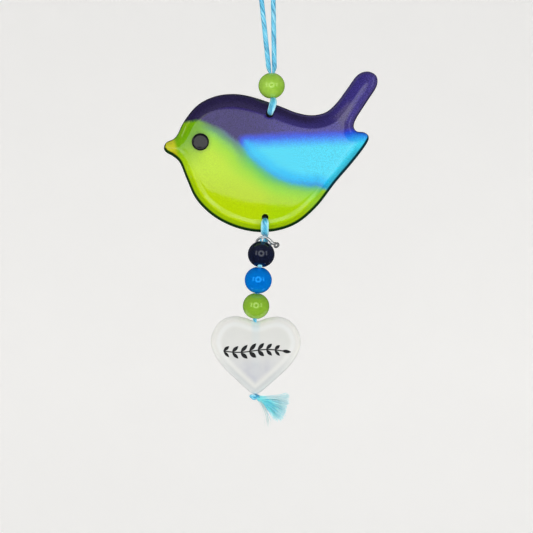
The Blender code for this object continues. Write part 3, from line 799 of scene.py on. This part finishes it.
def heartPaint():
    paint = Paint("frostedGlass", {"IOR": 1.5, "Transmission Weight": 0.05, "Specular IOR Level": 0.25,
                                   "Emission Strength": 0.26, **milky(0.45, 3.0)})
    x, y, z = paint.axes()
    x = x - heart["place"][0]
    z = z - heart["place"][2]
    depth = paint.mark("depth")
    mist = paint.noise(0.22, detail=3)
    low = (z * -1).soft(2, 15)
    face = paint.mix(tint(216, 217, 214), tint(195, 197, 204), low)
    face = paint.mix(face, tint(219, 220, 217), mist.soft(0.42, 0.7) * 0.35)
    # painted light: the rim is lighter than the face, with a painted highlight along the bevel; both are
    # weaker and greyer towards the bottom
    colour = paint.mix(tint(222, 222, 218), face, depth.soft(3.0, 5.4))
    glint = depth.soft(1.6, 2.9) * depth.soft(4.6, 3.2)
    colour = paint.mix(colour, tint(230, 233, 234), glint * (0.5 - low * 0.38))
    colour = paint.mix(colour, tint(196, 201, 203), low * depth.soft(3.4, 1.6) * 0.8)
    string = x.size().soft(2.4, 0.5) * z.soft(-22, 6)
    colour = paint.mix(colour, tint(168, 212, 226), string * (0.10 + z.soft(2, 8) * 0.38))
    paint.give("Base Color", colour)
    # its rim glows: painted light for light coming through from behind
    paint.give("Emission Color", paint.mix((0, 0, 0, 1), tint(236, 236, 230), depth.soft(2.2, 0.2)))
    paint.give("Roughness", 0.24 + mist * 0.16)
    paint.bump(paint.noise(0.35, detail=2), 0.05)
    ink = sprigMask(paint, x, y, z)
    paint.cover(ink, {"Base Color": tint(16, 16, 20), "Roughness": 0.45, "Specular IOR Level": 0.3})
    return paint


def sprigMask(paint, x, y, z):
    # a printed sprig: a gently waving stem with pairs of slim leaves, the last one at its tip
    told = heart["sprig"]
    middle = (told["left"] + told["right"]) / 2
    reach = (told["right"] - told["left"]) / 2
    taper = 1 - ((x - middle).size() / reach).least(1) * told["taper"]
    off = z - told["height"] - ((x - middle) * (math.pi / reach)).sine() * told["wave"]
    within = x.soft(told["left"] - 0.1, told["left"] + 0.1) * x.soft(told["right"] + 0.1, told["right"] - 0.1)
    stem = off.size().soft(*told["stem"]) * within
    slant = math.radians(told["slant"])
    cell = (x - told["left"]).rest(told["step"])
    lift = off.size()
    length = taper * told["leaf"]
    run = (cell * math.cos(slant) + lift * math.sin(slant)) / length
    across = (lift * math.cos(slant) - cell * math.sin(slant)) / (taper * told["slim"])
    out = run * 2 - 1.08
    leaf = (1 - out * out - across.size()).soft(*told["edge"]) * within
    tipRun = (x - told["right"] - told["tipPast"]) / told["tipHalf"]
    tipLeaf = (1 - tipRun * tipRun - (off / told["tipSlim"]).size()).soft(*told["edge"])
    onFace = y.soft(heart["place"][1] - 1.5, heart["place"][1] - 2.0)
    return stem.most(leaf).most(tipLeaf) * onFace


def buildHeart():
    half = heart["half"]
    corners = [heart["notch"]] + half + [heart["tip"]] + [(-x, z) for x, z in reversed(half)]
    outline = closedOutline(corners, heart["size"]["step"])
    points, faces, marks = slabMesh("heart", outline, [], heart["size"])
    turn = math.radians(heart["tilt"])
    x, z = points[:, 0].copy(), points[:, 2].copy()
    points[:, 0] = x * math.cos(turn) + z * math.sin(turn)
    points[:, 2] = z * math.cos(turn) - x * math.sin(turn)
    piece = addMesh("frostedHeart", points + heart["place"], faces, marks)
    return dress(piece, heartPaint(), "frosted_glass", "heart")


# Floss: satin cord lofted along a route, with the fibres' ridges turning slowly round it

floss = {
    "light": tint(176, 240, 255), "body": tint(82, 202, 240), "deep": tint(28, 132, 178),
    "pale": tint(224, 246, 250), "shadeLow": tint(34, 66, 14), "shadeHigh": tint(18, 16, 30),
    "fibres": 11, "pointsPerFibre": 6, "ridge": 0.10, "turnsPerMm": 0.07, "step": 0.25,
    "perSpan": 10, "shadePast": 0.1, "shadeFade": 0.8,
}


def flossPaint():
    paint = Paint("satinFloss", {"Specular IOR Level": 0.6, "Sheen Weight": 0.25, "Sheen Roughness": 0.35,
                                 "Coat Weight": 0.25, "Coat Roughness": 0.25})
    fibre = paint.add("ShaderNodeAttribute", {"attribute_name": "fibre"}, {}, "Vector")
    streak = paint.noise(1.7, detail=3, roughness=0.7, at=fibre)
    fine = paint.noise(7.0, detail=2, at=fibre)
    groove = paint.mark("groove")
    flank = paint.mark("flank")
    colour = paint.mix(floss["deep"], floss["body"], streak.soft(0.38, 0.50))
    # painted light: the ribbon's sides are lighter as a painted highlight, its middle darker as painted
    # shade, and the grooves between the fibres darker as painted shade
    colour = paint.layers(
        colour,
        (floss["deep"], flank.soft(-0.1, -0.7) * 0.35),
        (floss["light"], streak.soft(0.53, 0.64) * 0.85),
        (floss["light"], fine.soft(0.50, 0.66) * 0.5),
        (floss["deep"], groove.soft(0.4, 1.0) * 0.6),
        (floss["light"], flank.soft(0.0, 0.6) * 0.9),
    )
    shade = paint.mix(floss["shadeLow"], floss["shadeHigh"], paint.axes()[2].soft(-110, -95))
    colour = paint.mix(colour, shade, paint.mark("shade"))
    paint.give("Base Color", colour)
    paint.give("Roughness", 0.25 + streak * 0.2)
    paint.bump(streak * 0.7 + fine * 0.3, 0.12)
    return paint


def loft(route, closed=False):
    # route: x, y, z, half width, half depth; returns points, faces and fibre marks
    curve = smoothCurve(route, closed, floss["perSpan"])
    curve = evenSteps(curve, floss["step"], closed)
    place = curve[:, :3]
    tangent = headings(place, closed)
    count = floss["fibres"] * floss["pointsPerFibre"]
    around = circleAngles(count)
    wide = np.array((1.0, 0.0, 0.0))
    points, fibre, groove, flank, shade = [], [], [], [], []
    run = 0.0
    for i, (centre, forward) in enumerate(zip(place, tangent)):
        if i:
            run += np.linalg.norm(centre - place[i - 1])
        wide = wide - forward * (wide @ forward)
        wide /= np.linalg.norm(wide)
        deep = np.cross(forward, wide)
        twist = run * floss["turnsPerMm"] * 2 * math.pi
        dip = 1 - np.abs(np.cos(floss["fibres"] * (around + twist) / 2))
        inside = inHole(centre)
        ridge = 1 - floss["ridge"] * dip**2 * (1 - inside)
        width, depth = curve[i, 3], curve[i, 4]
        points.append(centre + np.outer(np.cos(around) * ridge * width, wide)
                      + np.outer(np.sin(around) * ridge * depth, deep))
        turned = around + twist
        fibre.append(np.column_stack([np.cos(turned), np.sin(turned), np.full(count, run * 0.07)]))
        groove.append(dip)
        flatness = min(max(2 - 2 * depth / width, 0.0), 1.0)
        flank.append((2 * np.abs(np.cos(around)) - 1) * flatness)   # from the middle of a ribbon to its sides
        shade.append(np.full(count, inside))
    faces = gridFaces(len(points), count, closed=True) if closed else cappedFaces(len(points), count)
    marks = {"fibre": np.vstack(fibre), "groove": np.concatenate(groove), "flank": np.concatenate(flank),
             "shade": np.concatenate(shade)}
    return np.vstack(points), faces, marks, place


def inHole(centre):
    # 1 for the part of a cord that lies in one of the bird's holes
    x, y, z = centre
    for holeX, holeZ, radius in bird["holes"]:
        away = math.hypot(x - bird["place"][0] - holeX, z - bird["place"][2] - holeZ)
        if away < radius:
            depth = bird["size"]["thickness"] / 2 + floss["shadePast"] - abs(y)
            return min(max(depth / floss["shadeFade"], 0.0), 1.0)
    return 0.0


def spot(x, y, z, radius, flat=1.0):
    # a route point whose section is round, or flattened by a share
    return (x, y, z, radius, radius * flat)


hanging = {
    "bead": (3.8, 0.0, -70.4), "beadRadius": 5.05, "hook": 2.85, "strand": 0.95, "apart": 1.12,
    "inBead": 0.52, "offset": 0.66,
}


def boreRoute(start, end, turnStart, turnEnd, steps):
    found = []
    for share in np.arange(steps + 1) / steps:
        angle = math.radians(turnStart + (turnEnd - turnStart) * share)
        x, y, z = (a + (b - a) * share for a, b in zip(start, end))
        aside = hanging["offset"]
        found.append(spot(x + aside * math.cos(angle), y + aside * math.sin(angle), z, hanging["inBead"]))
    return found


def hangingRoute():
    x, y, z = hanging["bead"]
    mouth = hanging["beadRadius"] - 0.1
    front = [
        (x + 0.6, -1.9, z - 5.5, 1.15, 0.6),
        (x + 0.5, -3.2, z - 7.0, 1.5, 0.7),
        (x, -4.0, z - 8.9, 1.45, 0.75),
        (x - 0.45, -3.7, z - 10.1, 1.32, 0.75),
    ]
    hole = [(x - 0.65, -2.4, z - 10.8, 1.25, 0.85), (x - 0.75, -0.8, z - 11.1, 1.38, 1.3),
            (x - 0.8, 1.0, z - 11.15, 1.42, 1.42), (x - 0.8, 2.5, z - 11.1, 1.38, 1.35)]
    rear = [
        (x - 0.6, 4.0, z - 10.5, 1.2, 0.9),
        (x - 0.4, 4.5, z - 8.9, 1.15, 0.8),
        (x - 0.2, 3.9, z - 7.0, 0.85, 0.65),
        (x - 0.1, 2.0, z - 5.8, 0.6, 0.6),
    ]
    foot, top = (x, y, z - mouth), (x, y, z + mouth)
    strand, apart = hanging["strand"], hanging["apart"]
    climbX, climbZ = x - 0.1, z + 7.2
    bendRadius = hanging["hook"] + strand
    bendZ = -hanging["hook"]
    right, left = [], []
    for share in (0.0, 0.04, 0.12, 0.28, 0.5, 0.72, 0.88, 0.96):
        centre = climbX * (1 - share)
        spread = apart + (bendRadius - apart) * share
        height = climbZ + (bendZ - climbZ) * share
        right.append(spot(centre + spread, 0.0, height, strand))
        left.append(spot(centre - spread, 0.0, height, strand))
    bend = []
    for angle in np.radians((0, 45, 90, 135, 180)):
        bend.append(spot(bendRadius * math.cos(angle), 0.0, bendZ + bendRadius * math.sin(angle), strand))
    return (
        boreRoute((x, y, z - 0.3), foot, 225, 270, 2)
        + front + hole + rear
        + boreRoute(foot, top, 90, 0, 4)
        + right + bend + left[::-1]
        + boreRoute(top, (x, y, z + 0.5), 180, 222, 2)
    )


def buildHangingCord(paint):
    points, faces, marks, path = loft(hangingRoute())
    piece = addMesh("hangingCord", points, faces, marks)
    dress(piece, paint, "floss", "hanging_cord")
    path[0] * mm
    path * mm
    return piece


lower = {
    "x": 1.2, "z": -121.8,
    # right, Y, up, half width, half depth
    "turns": [
        (0.0, 0.6, 0.0, 1.18, 1.18), (0.0, -0.6, -0.2, 1.16, 1.0), (0.0, -1.9, -0.6, 1.16, 0.7),
        (0.0, -3.2, -1.2, 1.28, 0.55), (-0.05, -4.4, -2.1, 1.46, 0.6), (-0.1, -4.2, -3.9, 1.52, 0.65),
        (-0.1, -2.9, -5.4, 1.52, 0.55), (-0.1, -1.0, -6.4, 1.5, 0.45), (0.0, 0.8, -6.65, 1.35, 0.4),
        (0.4, 2.4, -7.3, 0.8, 0.45), (0.7, 2.85, -8.8, 0.42, 0.4), (0.7, 2.75, -10.8, 0.42, 0.4),
        (0.7, 3.0, -12.6, 0.4, 0.38), (0.65, 4.3, -13.6, 0.4, 0.38), (0.5, 5.7, -12.8, 0.42, 0.38),
        (0.4, 5.9, -10.4, 0.5, 0.42), (0.2, 5.5, -7.8, 0.65, 0.55), (0.0, 5.1, -5.6, 0.95, 0.75),
        (0.0, 4.8, -3.6, 1.15, 0.8), (0.0, 4.8, -1.6, 1.1, 0.8), (0.0, 3.9, -0.4, 1.1, 0.85),
        (0.0, 2.2, 0.0, 1.18, 1.18),
    ],
}


def lowerRoute():
    x, z = lower["x"], lower["z"]
    return [(x + right, y, z + up, width, depth) for right, y, up, width, depth in lower["turns"]]


def stringRoute():
    navy, blue, green = (np.array(beads[name][1]) for name in ("navyBead", "blueBead", "lowerGreenBead"))
    up = (navy - green) / np.linalg.norm(navy - green)
    bore = np.array(beads["navyBead"][3]) / np.linalg.norm(beads["navyBead"][3])
    side = np.array([hanging["offset"], 0.0, 0.0])
    heartX, _, heartZ = heart["place"]
    low = [
        spot(-2.7, 0.0, -190.6, 0.7),
        spot(heartX - 0.3, 0.0, heartZ - 12.0, 0.8),
        spot(heartX - 0.2, 0.0, heartZ + 3.0, 0.7),
        spot(-2.4, -0.3, -162.8, 0.38),
    ]
    middle = []
    for centre in (green, blue):
        for along in (-4.85, 0.0, 4.85):
            swell = 0.95 if along else 0.6
            middle.append((*(centre + up * along), swell, 0.6))
    # a slack fold shows between these two beads
    middle += [(-0.95, -3.2, -141.3, 0.6, 0.22), (-0.8, -4.55, -141.0, 0.85, 0.35),
               (-0.8, -4.65, -140.4, 0.85, 0.35), (-0.8, -3.2, -140.6, 0.6, 0.22)]
    middle.append((*(navy - bore * 4.3), 0.7, 0.5))
    rising = [spot(*(navy - bore * 2.5 + (-0.3, 0, 0)), 0.5)]
    rising += [spot(*(navy + bore * along - side), hanging["inBead"]) for along in (0.0, 2.5, 4.6)]
    over = [spot(*corner) for corner in (
        (-0.45, -1.2, -130.42, 0.36), (-0.5, 0.3, -130.6, 0.36), (-0.5, 1.7, -131.3, 0.36),
        (-0.5, 2.8, -132.6, 0.4), (-0.45, 3.25, -134.1, 0.38), (-0.3, 4.3, -134.8, 0.4),
        (-0.1, 5.4, -134.0, 0.42), (0.2, 5.1, -132.6, 0.42), (0.5, 3.8, -131.9, 0.42),
        (0.6, 2.4, -131.3, 0.38), (0.7, 1.2, -130.8, 0.36), (0.8, -0.2, -130.45, 0.36),
        (0.85, -1.2, -130.45, 0.36),
    )]
    falling = [spot(*(navy + bore * along + side), hanging["inBead"]) for along in (4.6, 2.5, 0.4)]
    return low + middle + rising + over + falling


# Knot and tassel

knot = {"place": (-2.95, 0.0, -191.75), "half": (1.5, 0.7, 0.6), "strand": 0.62, "points": 18}


def knotRoute():
    # a trefoil, pulled tight and laid on its side
    found = []
    for turn in circleAngles(knot["points"]):
        x = (math.sin(turn) + 2 * math.sin(2 * turn)) / 3
        z = (math.cos(turn) - 2 * math.cos(2 * turn)) / 3
        y = -math.sin(3 * turn)
        cx, cy, cz = knot["place"]
        ax, ay, az = knot["half"]
        found.append(spot(cx + ax * x, cy + ay * y, cz + az * z, knot["strand"]))
    return found


def buildStrings(paint):
    built = []
    for name, node, route, closed in (("lowerLoop", "lower_loop", lowerRoute(), True),
                                      ("beadString", "bead_string", stringRoute(), False),
                                      ("flossKnot", "knot", knotRoute(), True)):
        points, faces, marks, _ = loft(route, closed=closed)
        built.append(dress(addMesh(name, points, faces, marks), paint, "floss", node))
    return built


tassel = {
    "root": (-1.6, 0.0, -192.0), "rootSpread": (0.3, 0.4, 0.35), "threads": 300,
    "radius": 0.07, "thick": (1.2, 0.75), "sides": 5, "joints": 12,
    "clumps": 10, "clumpDepth": 1.0, "spread": 0.045, "topAngle": 5.5, "lowAngle": -50.0,
    "longer": (0.95, 1.02), "depthSpread": 0.35, "shades": (0.15, 1.0), "lockGapShade": 0.22,
    "bend": -0.35, "bendMiddle": 0.35, "bendSpread": 0.05,
    "wisps": 12, "wispAngles": (-73.0, -67.0), "wispLengths": (10.5, 12.8), "wispDepth": 0.6,
    "wispBend": 0.35, "wispPale": 1.8, "wispColour": tint(202, 220, 220),
    # degrees round the fan, and how early the threads turn pale there
    "pale": ((-24.0, -10.0, -3.0, 4.0), (0.0, 0.16, 0.45, 0.58)),
    # degrees round the fan, and how long the threads are there
    "edge": [(-60.0, 10.6), (-54.0, 11.0), (-43.0, 13.0), (-27.0, 12.2), (8.0, 12.4), (20.0, 11.4)],
}


def threadRun(angle, length, depth, bend, start):
    # a thread from the knot; it starts nearer the fan's middle and bends out to its own angle
    run = []
    for share in np.linspace(0, 1, tassel["joints"]):
        turn = angle + bend * (1 - share)
        along = np.array([math.cos(turn), 0, math.sin(turn)])
        run.append(start + along * length * share + (0, depth * share**0.8, 0))
    return np.array(run)


def tube(run, radius, sides):
    tangent = headings(run)
    side = np.cross(tangent, (0.0, 1.0, 0.0))
    side /= np.linalg.norm(side, axis=1)[:, None]
    other = np.cross(tangent, side)
    turns = circleAngles(sides)
    rings = [run + (side * math.cos(turn) + other * math.sin(turn)) * radius[:, None] for turn in turns]
    points = np.stack(rings, axis=1).reshape(-1, 3)
    return points, cappedFaces(len(run), sides)


def buildTassel():
    points, faces, tips, shades = [], [], [], []
    total = 0
    clumpAngle = np.radians(np.linspace(tassel["topAngle"], tassel["lowAngle"], tassel["clumps"]))
    clumpDepth = chance.uniform(-tassel["clumpDepth"], tassel["clumpDepth"], tassel["clumps"])
    clumpLength = chance.uniform(*tassel["longer"], tassel["clumps"])
    edgeAngles, edgeLengths = np.transpose(tassel["edge"])
    for number in range(tassel["threads"] + tassel["wisps"]):
        root = np.array(tassel["root"]) + chance.normal(0, tassel["rootSpread"])
        if number < tassel["threads"]:
            pick = chance.integers(tassel["clumps"])
            aside = chance.normal(0, tassel["spread"])
            angle = clumpAngle[pick] + aside
            reach = np.interp(math.degrees(angle), edgeAngles, edgeLengths)
            length = clumpLength[pick] * chance.uniform(*tassel["longer"]) * reach
            depth = clumpDepth[pick] + chance.normal(0, tassel["depthSpread"])
            bend = tassel["bend"] * (angle + tassel["bendMiddle"]) + chance.normal(0, tassel["bendSpread"])
            pale = np.interp(math.degrees(angle), *tassel["pale"])
            # painted shade: threads further from the middle of their lock are darker
            lockGapShade = min(abs(aside) / tassel["spread"], 2.0) * tassel["lockGapShade"]   # between the locks
        else:
            angle = math.radians(chance.uniform(*tassel["wispAngles"]))
            length = chance.uniform(*tassel["wispLengths"])
            depth = chance.normal(0, tassel["wispDepth"])
            bend = tassel["wispBend"]
            pale = tassel["wispPale"]
            lockGapShade = 0.0
        run = threadRun(angle, length, depth, bend, root)
        radius = tassel["radius"] * np.linspace(*tassel["thick"], len(run))
        ring, sides = tube(run, radius, tassel["sides"])
        points.append(ring)
        faces += [tuple(k + total for k in face) for face in sides]
        tips.append(np.repeat(np.linspace(0, 1, len(run)) + pale, tassel["sides"]))
        shades.append(np.full(len(ring), chance.uniform(*tassel["shades"]) - lockGapShade))
        total += len(ring)
    marks = {"tip": np.concatenate(tips), "shade": np.concatenate(shades)}
    piece = addMesh("flossTassel", np.vstack(points), faces, marks)
    paint = Paint("tasselFloss", {"Specular IOR Level": 0.6, "Sheen Weight": 0.4, "Roughness": 0.35,
                                  **milky(0.3, 0.3)})
    tip = paint.mark("tip")
    shade = paint.mark("shade") + (paint.noise(0.9, detail=2) - 0.5) * 0.5
    colour = paint.mix(tint(68, 198, 246), tint(134, 250, 255), shade.soft(-0.15, 0.25))
    colour = paint.layers(
        colour,
        (floss["light"], shade.soft(0.5, 1.0) * 0.8),
        (floss["pale"], tip.soft(0.45, 1.2) * 0.85),
        (tassel["wispColour"], tip.soft(1.6, 1.7)),
    )
    paint.give("Base Color", colour)
    paint.give("Roughness", 0.3 + shade * 0.15)
    return dress(piece, paint, "floss", "tassel")


# Wire ring

ring = {
    "place": (0.75, 2.8, -131.5), "radius": 2.85, "tilt": 43.0, "wire": 0.48,
    "from": 78.0, "to": 383.0, "steps": 61, "perSpan": 4, "step": 0.16, "sides": 16,
    "eyelet": (5.66, 0.6, -132.6), "eyeletLong": 0.86, "eyeletShort": 0.62, "eyeletWire": 0.42,
    "eyeletFrom": -200.0, "eyeletTo": 112.0,
    "leg": [(4.3, 0.65, -131.85, 0.66), (3.2, 0.8, -130.85, 0.7), (2.2, 0.9, -129.95, 0.56)],
}


def ringRoute():
    # the small eye first, then a straight leg to the ring and most of the way round it
    tilt = math.radians(ring["tilt"])
    up = np.array([0, -math.sin(tilt), math.cos(tilt)])
    side = np.array([1.0, 0, 0])
    route = []
    for angle in np.radians(np.arange(ring["eyeletFrom"], ring["eyeletTo"], 15)):
        slant = angle - math.radians(45)
        along = np.array([math.sqrt(0.5), 0, math.sqrt(0.5)]) * math.cos(slant) * ring["eyeletLong"]
        over = np.array([-math.sqrt(0.5), 0, math.sqrt(0.5)]) * math.sin(slant) * ring["eyeletShort"]
        route.append((*(np.array(ring["eyelet"]) + along + over), ring["eyeletWire"]))
    route += ring["leg"]
    for angle in np.radians(np.linspace(ring["from"], ring["to"], ring["steps"])):
        place = np.array(ring["place"]) + (side * math.cos(angle) + up * math.sin(angle)) * ring["radius"]
        route.append((*place, ring["wire"]))
    return np.array(route)


def buildRing():
    curve = evenSteps(smoothCurve(ringRoute(), perSpan=ring["perSpan"]), ring["step"])
    points, faces = tubeAlong(curve[:, :3], curve[:, 3], ring["sides"])
    piece = addMesh("wireRing", points, faces)
    paint = Paint("brightSteel", {"Metallic": 0.6, "IOR": 1.6})
    wear = paint.noise(0.9, detail=3)
    steel = paint.mix(tint(244, 246, 248), tint(150, 151, 152), wear.soft(0.42, 0.66))
    steel = paint.mix(steel, tint(96, 98, 100), paint.axes()[0].soft(4.4, 5.2) * 0.85)
    paint.give("Base Color", steel)
    paint.give("Roughness", 0.16 + wear * 0.14)
    paint.bump(paint.noise(4.0, detail=2), 0.02)
    return dress(piece, paint, "steel", "wire_ring")


def tubeAlong(run, radius, sides):
    # a tube whose section is carried along without twist
    side = np.array([0.0, 1.0, 0.0])
    turns = circleAngles(sides)
    points = []
    for centre, forward, size in zip(run, headings(run), radius):
        side = side - forward * (side @ forward)
        side /= np.linalg.norm(side)
        other = np.cross(forward, side)
        points.append(centre + (np.outer(np.cos(turns), side) + np.outer(np.sin(turns), other)) * size)
    return np.vstack(points), cappedFaces(len(run), sides)


bpy.context.scene.view_settings.view_transform = "Standard"
placeCamera()
buildStage()
hung = {lampName: hangLamp(lampName, *settings) for lampName, settings in lamps.items()}
for lampName in unmirrored:
    hung[lampName].visible_glossy = False
upperRing = hangRingLight()
print("stage, camera and lamps")

satin = flossPaint()
soft = [buildHangingCord(satin), *buildStrings(satin), buildTassel()]
print("cords, knot and tassel")

flat = [buildBird(), buildEye()]
print("bird")

rest = [*buildBeads(), buildHeart(), buildRing()]
limitLight([hung["faceLamp"]], "litByFaceLamp", flat)
limitLight(upperRing, "litByUpperRing", soft + rest)
print("beads, heart and ring")
